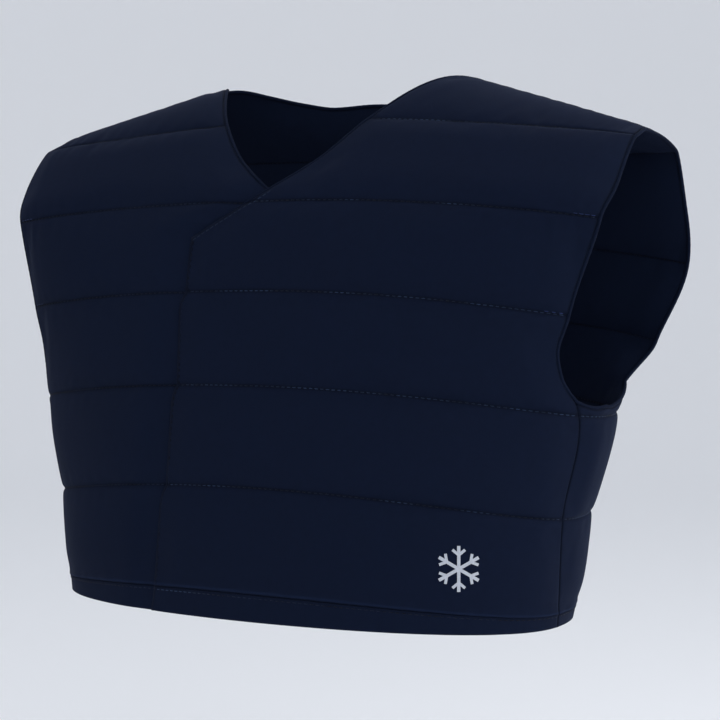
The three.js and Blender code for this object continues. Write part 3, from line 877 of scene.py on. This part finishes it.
def edge_roll(name, points, normals, closed, fullness):
    """A bead swept along an edge of the cloth, puckered a little by its stitching."""
    middle, (normals, fullness), at = evenly(
        points - normals * SEAM_THICKNESS / 2, [normals, fullness[:, None]], ROLL_STEP, closed)
    normals = unit(normals)
    radius = ROLL_RADIUS * fullness[:, 0]
    if closed:
        along = unit(np.roll(middle, -1, axis=0) - np.roll(middle, 1, axis=0))
    else:
        along = unit(np.gradient(middle, axis=0))
    away = unit(np.cross(normals, along))
    facing = unit(np.cross(along, away))
    centre = middle + away * (radius + ROLL_SEAT)[:, None]
    radius = radius * (1 + ROLL_PUCKER * np.sin(at * 2 * np.pi / PUCKER_LENGTH))
    angles = np.linspace(0, 2 * np.pi, ROLL_SIDES, endpoint=False)
    rings = (centre[:, None]
             + away[:, None] * (radius[:, None] * np.cos(angles))[..., None]
             + facing[:, None] * (radius[:, None] * np.sin(angles))[..., None])
    count = len(rings)
    quads = []
    for i in range(count if closed else count - 1):
        for k in range(ROLL_SIDES):
            near, far = i * ROLL_SIDES, (i + 1) % count * ROLL_SIDES
            ahead = (k + 1) % ROLL_SIDES
            quads.append((near + k, near + ahead, far + ahead, far + k))
    vertices = rings.reshape(-1, 3)
    if not closed:
        tips = [centre[0] - along[0] * radius[0] * ROLL_TIP,
                centre[-1] + along[-1] * radius[-1] * ROLL_TIP]
        vertices = np.concatenate([vertices, tips])
        last = (count - 1) * ROLL_SIDES
        for k in range(ROLL_SIDES):
            ahead = (k + 1) % ROLL_SIDES
            quads.append((ahead, k, count * ROLL_SIDES))
            quads.append((last + k, last + ahead, count * ROLL_SIDES + 1))
    roll = new_piece(name, vertices, quads)
    spread = np.zeros((len(vertices), 2))
    spread[:count * ROLL_SIDES, 0] = np.repeat(at, ROLL_SIDES)
    round_it = np.minimum(angles, 2 * np.pi - angles) * ROLL_RADIUS
    spread[:count * ROLL_SIDES, 1] = np.tile(round_it, count)
    add_map(roll.data, "cloth", spread)
    fit_out(roll, shaded_edge_cloth)
    return roll


def armhole_spots(side):
    """Levels and turns round an armhole: up its front, down its back and along its foot."""
    rising = np.linspace(ARMHOLE_FRONT_LEVEL, CREST_LEVEL, 160)
    falling = np.linspace(CREST_LEVEL, ARMHOLE_BACK_LEVEL, 160)[1:]
    foot_turn = np.linspace(180 - back_end_turn(ARMHOLE_BACK_LEVEL),
                            front_end_turn(ARMHOLE_FRONT_LEVEL), 60)[1:-1]
    levels = np.concatenate([rising, falling, from_table(ARMHOLE_FOOT, foot_turn)])
    turns = np.concatenate([front_end_turn(rising), 180 - back_end_turn(falling), foot_turn])
    return (levels[::-1], turns[::-1]) if side > 0 else (levels, -turns)


def neck_spots():
    """Levels, turns and drops from the corner of the upper lap round to that of the under one."""
    climb = np.linspace(LAP_CORNER_LEVEL, CREST_LEVEL, 120)
    shares = np.linspace(1, -1, 120)[1:-1]
    behind = from_table(BACK_NECK, np.abs(shares))
    levels = np.concatenate([climb, behind, climb[::-1]])
    turns = np.concatenate([
        free_edge_turn(climb),
        180 - shares * NECK_SHARE * back_end_turn(behind),
        -free_edge_turn(climb[::-1]),
    ])
    under = lap_drop(climb[::-1], -free_edge_turn(climb[::-1]))
    drops = np.concatenate([np.zeros(len(levels) - len(under)), under])
    return levels, turns, drops


for side, word in ((-1, "right"), (1, "left")):
    levels, turns = armhole_spots(side)
    armhole = edge_roll(f"armhole_roll_{word}", skin(levels, turns),
                        normal_at(levels, turns), True, np.ones(len(levels)))
    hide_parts(f"armhole_edge_{word}")

levels, turns, drops = neck_spots()
neck_normals = normal_at(levels, turns)
lap_end = smoothstep(levels, LAP_CORNER_LEVEL, NECK_CROSSING_LEVEL + CROSSING_MARGIN)
neck = edge_roll("neck_roll", skin(levels, turns) - neck_normals * drops[:, None], neck_normals,
                 False, NECK_THIN_END + (1 - NECK_THIN_END) * lap_end)
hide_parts("neck_edge")


# Stitching
# Polyester thread, lockstitched: along the quilting lines, beside the lap and slanted neck edges
# of the fronts, and along the hem.
# One stitch is modelled and copied along each line, on the outer and on the inner face.

STITCH_LENGTH = 0.0029
STITCH_PITCH = 0.0041
STITCH_WIDTH = 0.00055
STITCH_SINK = 0.00012
STITCH_TAPER = 0.45
STITCH_DIP = 0.7
STITCH_SLANT = 0.03
STITCH_SPREAD = 0.04
EDGE_STITCH_INSET = 0.0024


def one_stitch():
    """A short thread, thinner and bent down where it enters the cloth."""
    bpy.ops.mesh.primitive_cylinder_add(vertices=6, radius=STITCH_WIDTH / 2, depth=STITCH_LENGTH,
                                        end_fill_type="TRIFAN", rotation=(0, math.pi / 2, 0))
    stitch = bpy.context.object
    bpy.ops.object.transform_apply(location=True, rotation=True, scale=True)
    bpy.ops.object.mode_set(mode="EDIT")
    for quarter in (-STITCH_LENGTH / 4, STITCH_LENGTH / 4):
        bpy.ops.mesh.select_all(action="SELECT")
        bpy.ops.mesh.bisect(plane_co=(quarter, 0, 0), plane_no=(1, 0, 0))
    bpy.ops.object.mode_set(mode="OBJECT")
    for vertex in stitch.data.vertices:
        end = (abs(vertex.co.x) / (STITCH_LENGTH / 2)) ** 4
        vertex.co.y *= 1 - STITCH_TAPER * end
        vertex.co.z = vertex.co.z * (1 - STITCH_TAPER * end) - STITCH_WIDTH * STITCH_DIP * end
    return stitch


stitch_model = one_stitch()
stitch_points = points_of(stitch_model)
stitch_faces = [tuple(face.vertices) for face in stitch_model.data.polygons]


def surface_of(piece):
    return BVHTree.FromPolygons([tuple(p) for p in points_of(piece).tolist()],
                                [tuple(face.vertices) for face in piece.data.polygons])


SEAT_REACH = 0.014
SEAT_RAY = 1.9


def seated(surface, spot, normal, inside):
    """Where a stitch over a spot lies on the outer or the inner face of the cloth."""
    way = normal if inside else -normal
    found, face_normal, _, _ = surface.ray_cast(
        Vector(spot - way * SEAT_REACH), Vector(way), SEAT_REACH * SEAT_RAY)
    return None if found is None else (np.array(found), np.array(face_normal))


def stitched_lines(name, piece, lines, material, seed, inside=False):
    """Copies of the stitch along lines of (points, normals), each seated on the cloth."""
    surface = surface_of(piece)
    chance = np.random.default_rng(seed)
    vertices, faces = [], []
    for points, normals in lines:
        spots, (ups,), _ = evenly(points, [normals], STITCH_PITCH, False)
        middles = (spots[:-1] + spots[1:]) / 2
        runs = unit(spots[1:] - spots[:-1])
        for middle, run, up in zip(middles, runs, unit(ups[:-1] + ups[1:])):
            place = seated(surface, middle, up, inside)
            if place is None:
                continue
            spot, out = place
            run = run + np.cross(out, run) * chance.normal(0, STITCH_SLANT)
            run = unit(run - out * (run @ out))
            across = np.cross(out, run)
            length, width = 1 + chance.normal(0, STITCH_SPREAD, 2)
            local = stitch_points * np.array([length, width, width])
            lift = STITCH_WIDTH * width / 2 - STITCH_SINK
            copy = spot + out * lift + local @ np.stack([run, across, out])
            base = len(vertices) * len(stitch_points)
            vertices.append(copy)
            faces += [tuple(base + k for k in face) for face in stitch_faces]
    fit_out(new_piece(name, np.concatenate(vertices), faces), material)


def across_line(level, from_turn, to_turn, count=120):
    """A line along one level of the cloth: its points and its normals."""
    turns = np.linspace(from_turn, to_turn, count)
    levels = np.full(count, float(level))
    return skin(levels, turns), normal_at(levels, turns)


def speckled_material(name, tones, stops, grain_look, roughness, shine, sheen=0.0):
    """Two tones, and a roughness between two values, mixed by one noise."""
    material, nodes, links, shader = new_material(name, Specular_IOR_Level=shine,
                                                  Sheen_Weight=sheen)
    place = nodes.new("ShaderNodeTexCoord")
    grain = nodes.new("ShaderNodeTexNoise")
    set_inputs(grain, **grain_look)
    shades = nodes.new("ShaderNodeValToRGB")
    for element, stop, tone in zip(shades.color_ramp.elements, stops, tones):
        element.position = stop
        element.color = (*tone, 1)
    rough = nodes.new("ShaderNodeMapRange")
    set_inputs(rough, To_Min=roughness[0], To_Max=roughness[1])
    links.new(place.outputs["Object"], grain.inputs["Vector"])
    links.new(grain.outputs["Fac"], shades.inputs["Fac"])
    links.new(grain.outputs["Fac"], rough.inputs["Value"])
    links.new(shades.outputs["Color"], shader.inputs["Base Color"])
    links.new(rough.outputs["Result"], shader.inputs["Roughness"])
    return material


def thread_material(name, colour, shine, darkest=0.2):
    """Thread whose tone a noise varies, from full patches to darker stretches between them."""
    tones = [[part * share for part in colour] for share in (darkest, 1.5)]
    grain = {"Scale": 24, "Detail": 6, "Roughness": 0.62}
    return speckled_material(name, tones, (0.47, 0.6), grain, (0.5, 0.75), shine, sheen=0.04)


NAVY_THREAD = (0.0145, 0.027, 0.058)
navy_thread = thread_material("Navy thread", NAVY_THREAD, 0.15)
# A darker copy of the navy thread, as painted shade on the stitching of the right front, which is
# turned away from the lamps; it also sews the hem rows.
dark_thread = thread_material("Dark navy thread", (0.0058, 0.0105, 0.025), 0.1)
cloth_thread = thread_material("Cloth coloured thread", (0.003, 0.0056, 0.0155), 0.05)
slant_thread = thread_material("Navy thread of the slant", NAVY_THREAD, 0.15, 0.6)
tack_thread = thread_material("Blue tack thread", (0.014, 0.025, 0.085), 0.15, 0.9)
END_GAP = 0.9
TACK_OFFSET = 0.0012
TACK_LENGTH = 0.013
TACK_LINES = (4, 5)
LAP_ROW = np.linspace(HEM_LEVEL + 0.02, LAP_CORNER_LEVEL - 0.03, 160)
SLANT_END = {1: NECK_CROSSING_LEVEL + 0.02, -1: NECK_CROSSING_LEVEL - 0.08}


def front_lines(side):
    """Lines of a front: its quilting, and the rows set in from its lap and from its slant."""
    quilting = []
    for line in QUILTING_LINES:
        start, end = free_edge_turn(line), front_end_turn(line)
        quilting.append(across_line(line, side * (start + END_GAP), side * (end - END_GAP)))
    edges = []
    for levels in (LAP_ROW, np.linspace(LAP_CORNER_LEVEL, SLANT_END[side], 60)):
        turns = side * free_edge_turn(levels)
        points, normals = skin(levels, turns), normal_at(levels, turns)
        inwards = -side * unit(np.cross(normals, unit(np.gradient(points, axis=0))))
        edges.append([(points + inwards * EDGE_STITCH_INSET, normals)])
    return quilting, *edges


def tack_rows(side):
    """Back stitches beside the armhole end of two of the lines, in a brighter thread."""
    rows = []
    for line in TACK_LINES:
        end = front_end_turn(line) - END_GAP
        start = end - TACK_LENGTH / length_of(slopes(line, side * end)[1])
        level = line + level_step(line, side * end, TACK_OFFSET)
        rows.append(across_line(level, side * start, side * end, 24))
    return rows


for side, word, panel, line_thread, corner_thread in (
    (-1, "right", right_panel, dark_thread, dark_thread),
    (1, "left", left_panel, navy_thread, slant_thread),
):
    quilting, lap, slant = front_lines(side)
    stitched_lines(f"stitches_front_{word}", panel, quilting, line_thread, seed=3)
    stitched_lines(f"stitches_slant_{word}", panel, slant, corner_thread, seed=19)
    stitched_lines(f"stitches_lap_{word}", panel, lap, cloth_thread, seed=13)
    stitched_lines(f"stitches_front_{word}_inside", panel, quilting + slant + lap, cloth_thread,
                   inside=True, seed=4)
    stitched_lines(f"tacks_front_{word}", panel, tack_rows(side), tack_thread, seed=17)

back_lines = []
for line in QUILTING_LINES:
    reach = 180 - front_end_turn(line) if line <= ARMPIT_LINE_LEVEL else back_end_turn(line)
    back_lines.append(across_line(line, 180 - reach + END_GAP, 180 + reach - END_GAP, 300))
stitched_lines("stitches_back", back_panel, back_lines, navy_thread, seed=5)
stitched_lines("stitches_back_inside", back_panel, back_lines, cloth_thread, inside=True, seed=6)

HEM_STITCH_LEVEL = 0.9
FRESH_THREAD_TURN = 17
hem_start = free_edge_turn(HEM_STITCH_LEVEL) + END_GAP
hem_end = front_end_turn(HEM_STITCH_LEVEL)
fresh_end = hem_start + FRESH_THREAD_TURN
fresh_row = [across_line(HEM_STITCH_LEVEL, hem_start, fresh_end, 80)]
hem_rows = (
    (hem_right, "right", -hem_end + END_GAP, -hem_start, 300),
    (hem_left, "left", fresh_end, hem_end - END_GAP, 240),
    (hem_behind, "back", hem_end + END_GAP, 360 - hem_end - END_GAP, 300),
)
for band, word, start, end, count in hem_rows:
    if band is hem_left:
        stitched_lines("stitches_hem_left_start", band, fresh_row, navy_thread, seed=9)
    row = [across_line(HEM_STITCH_LEVEL, start, end, count)]
    stitched_lines(f"stitches_hem_{word}", band, row, dark_thread, seed=7)
    stitched_lines(f"stitches_hem_{word}_inside", band, row, cloth_thread, inside=True, seed=8)

bpy.data.objects.remove(stitch_model)


# Print on the left front
# A small plain snowflake in white transfer film, pressed onto the cloth near the hem.

PRINT_LEVEL = 1.526
PRINT_TURN = 48.75
PRINT_RADIUS = 0.0145
PRINT_BAR = 0.0021
PRINT_HEIGHT = 0.00025
PRINT_SINK = 0.45
TWIG_LENGTH = PRINT_RADIUS * 0.36
TWIG_BAR = PRINT_BAR * 0.85
TWIG_AT = PRINT_RADIUS * 0.6
TWIG_LEAN = math.pi / 3.6
PRINT_CUTS = 6
PRINT_CUT_SHIFT = 0.37


def print_bar(place, angle, length, width):
    bpy.ops.mesh.primitive_cube_add(size=1, location=(*place, 0), rotation=(0, 0, angle))
    bpy.context.object.scale = (length, width, PRINT_HEIGHT)
    bpy.ops.object.transform_apply(location=True, rotation=True, scale=True)
    return bpy.context.object


def snowflake():
    """Three long bars and twelve twigs, united into one flat shape."""
    arms = [math.pi / 2 + k * math.pi / 3 for k in range(6)]
    flake, *parts = [print_bar((0, 0), arm, 2 * PRINT_RADIUS, PRINT_BAR) for arm in arms[:3]]
    for arm in arms:
        for lean in (arm - TWIG_LEAN, arm + TWIG_LEAN):
            root = np.array([math.cos(arm), math.sin(arm)]) * TWIG_AT
            tip = np.array([math.cos(lean), math.sin(lean)]) * TWIG_LENGTH / 2
            parts.append(print_bar(root + tip, lean, TWIG_LENGTH, TWIG_BAR))
    for part in parts:
        union = flake.modifiers.new("Union", "BOOLEAN")
        union.operation = "UNION"
        union.solver = "EXACT"
        union.object = part
        apply_modifier(flake, "Union")
        bpy.data.objects.remove(part)
    flake.name = "front_print"
    bpy.ops.object.mode_set(mode="EDIT")
    for k in range(-PRINT_CUTS, PRINT_CUTS + 1):
        at = PRINT_RADIUS * (k + PRINT_CUT_SHIFT) / (PRINT_CUTS + 0.5)
        for normal in ((1, 0, 0), (0, 1, 0)):
            bpy.ops.mesh.select_all(action="SELECT")
            bpy.ops.mesh.bisect(plane_co=tuple(at * part for part in normal), plane_no=normal)
    bpy.ops.mesh.select_all(action="SELECT")
    bpy.ops.mesh.quads_convert_to_tris()
    bpy.ops.object.mode_set(mode="OBJECT")
    return flake


flake = snowflake()
panel_face = surface_of(left_panel)
print_spot = skin(PRINT_LEVEL, PRINT_TURN)
print_out = normal_at(PRINT_LEVEL, PRINT_TURN)
print_right = unit(np.cross([0, 0, 1], print_out))
print_up = np.cross(print_out, print_right)
placed = []
for x, y, z in points_of(flake):
    spot = print_spot + print_right * x + print_up * y
    on_cloth, _ = seated(panel_face, spot, print_out, False)
    placed.append(on_cloth + print_out * (z + PRINT_HEIGHT * PRINT_SINK))
flake.data.vertices.foreach_set("co", np.array(placed).ravel())
flake.data.update()

film = speckled_material("White transfer film", ((0.34, 0.37, 0.43), (0.52, 0.55, 0.61)), (0, 1),
                         {"Scale": 700, "Detail": 3, "Roughness": 0.5}, (0.45, 0.65), 0.3)
flake.data.materials.append(film)
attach(flake, "root")


# Stage, light and camera
# A plain pale floor well below the hanging vest, turned up far off into a pale wall all round,
# soft lamps and the camera of the photograph's view.

FLOOR_HEIGHT = -0.75
FLOOR_RADIUS = 4.5
FLOOR_TURN_UP = 2.5
FLOOR_TURN_STEPS = 12
WALL_HEIGHT = 2.5
PALE = (0.78, 0.8, 0.84, 1)
FLOOR_GLOW = 0.22
SURROUND_STRENGTH = 0.75
LAMPS_AIM = (0, 0, -0.18)

bpy.ops.mesh.primitive_circle_add(vertices=96, radius=FLOOR_RADIUS, fill_type="NGON",
                                  location=(0, 0, FLOOR_HEIGHT))
floor = bpy.context.object
floor.name = "studio_floor"
bpy.ops.object.mode_set(mode="EDIT")
bpy.ops.mesh.select_mode(type="EDGE")
rings = [(FLOOR_RADIUS + FLOOR_TURN_UP * math.sin(angle), FLOOR_TURN_UP * (1 - math.cos(angle)))
         for angle in np.linspace(0, math.pi / 2, FLOOR_TURN_STEPS + 1)]
rings.append((rings[-1][0], rings[-1][1] + WALL_HEIGHT))
for (reach, low), (wider, high) in zip(rings, rings[1:]):
    bpy.ops.mesh.extrude_region_move(TRANSFORM_OT_translate={"value": (0, 0, high - low)})
    bpy.ops.transform.resize(value=(wider / reach, wider / reach, 1), center_override=(0, 0, 0))
bpy.ops.object.mode_set(mode="OBJECT")
floor.data.shade_smooth()
floor_paint, _, _, _ = new_material(
    "Pale floor", Base_Color=(0.72, 0.73, 0.75, 1), Roughness=0.9, Specular_IOR_Level=0.1,
    Emission_Color=PALE, Emission_Strength=FLOOR_GLOW)
floor.data.materials.append(floor_paint)

world = bpy.data.worlds.new("Pale surround")
bpy.context.scene.world = world
world.use_nodes = True
set_inputs(world.node_tree.nodes["Background"], Color=PALE, Strength=SURROUND_STRENGTH)


def lamp(name, place, size, power):
    data = bpy.data.lights.new(name, "AREA")
    data.shape = "SQUARE"
    data.size = size
    data.energy = power
    light = bpy.data.objects.new(name, data)
    light.location = place
    aim = Vector(LAMPS_AIM) - Vector(place)
    light.rotation_euler = aim.to_track_quat("-Z", "Y").to_euler()
    bpy.context.collection.objects.link(light)


lamp("front_softbox", (1.95, -2.2, 1.2), 1.6, 30)
lamp("side_softbox", (2.2, 0.6, 0.5), 1.0, 23)
lamp("top_softbox", (0.3, 0.7, 2.2), 1.2, 13)

CAMERA_TURN = math.radians(30)
CAMERA_AWAY = 1.235
CAMERA_HEIGHT = -0.168
camera_data = bpy.data.cameras.new("photo_view")
camera_data.sensor_width = 36
camera_data.lens = 85.2
camera_data.shift_x = 0.0444
camera_data.shift_y = -0.0639
camera_data.clip_end = 100
camera = bpy.data.objects.new("photo_view", camera_data)
camera.location = (CAMERA_AWAY * math.sin(CAMERA_TURN),
                   -CAMERA_AWAY * math.cos(CAMERA_TURN), CAMERA_HEIGHT)
camera.rotation_euler = (math.pi / 2, 0, CAMERA_TURN)
bpy.context.collection.objects.link(camera)
bpy.context.scene.camera = camera
bpy.context.scene.view_settings.view_transform = "Standard"
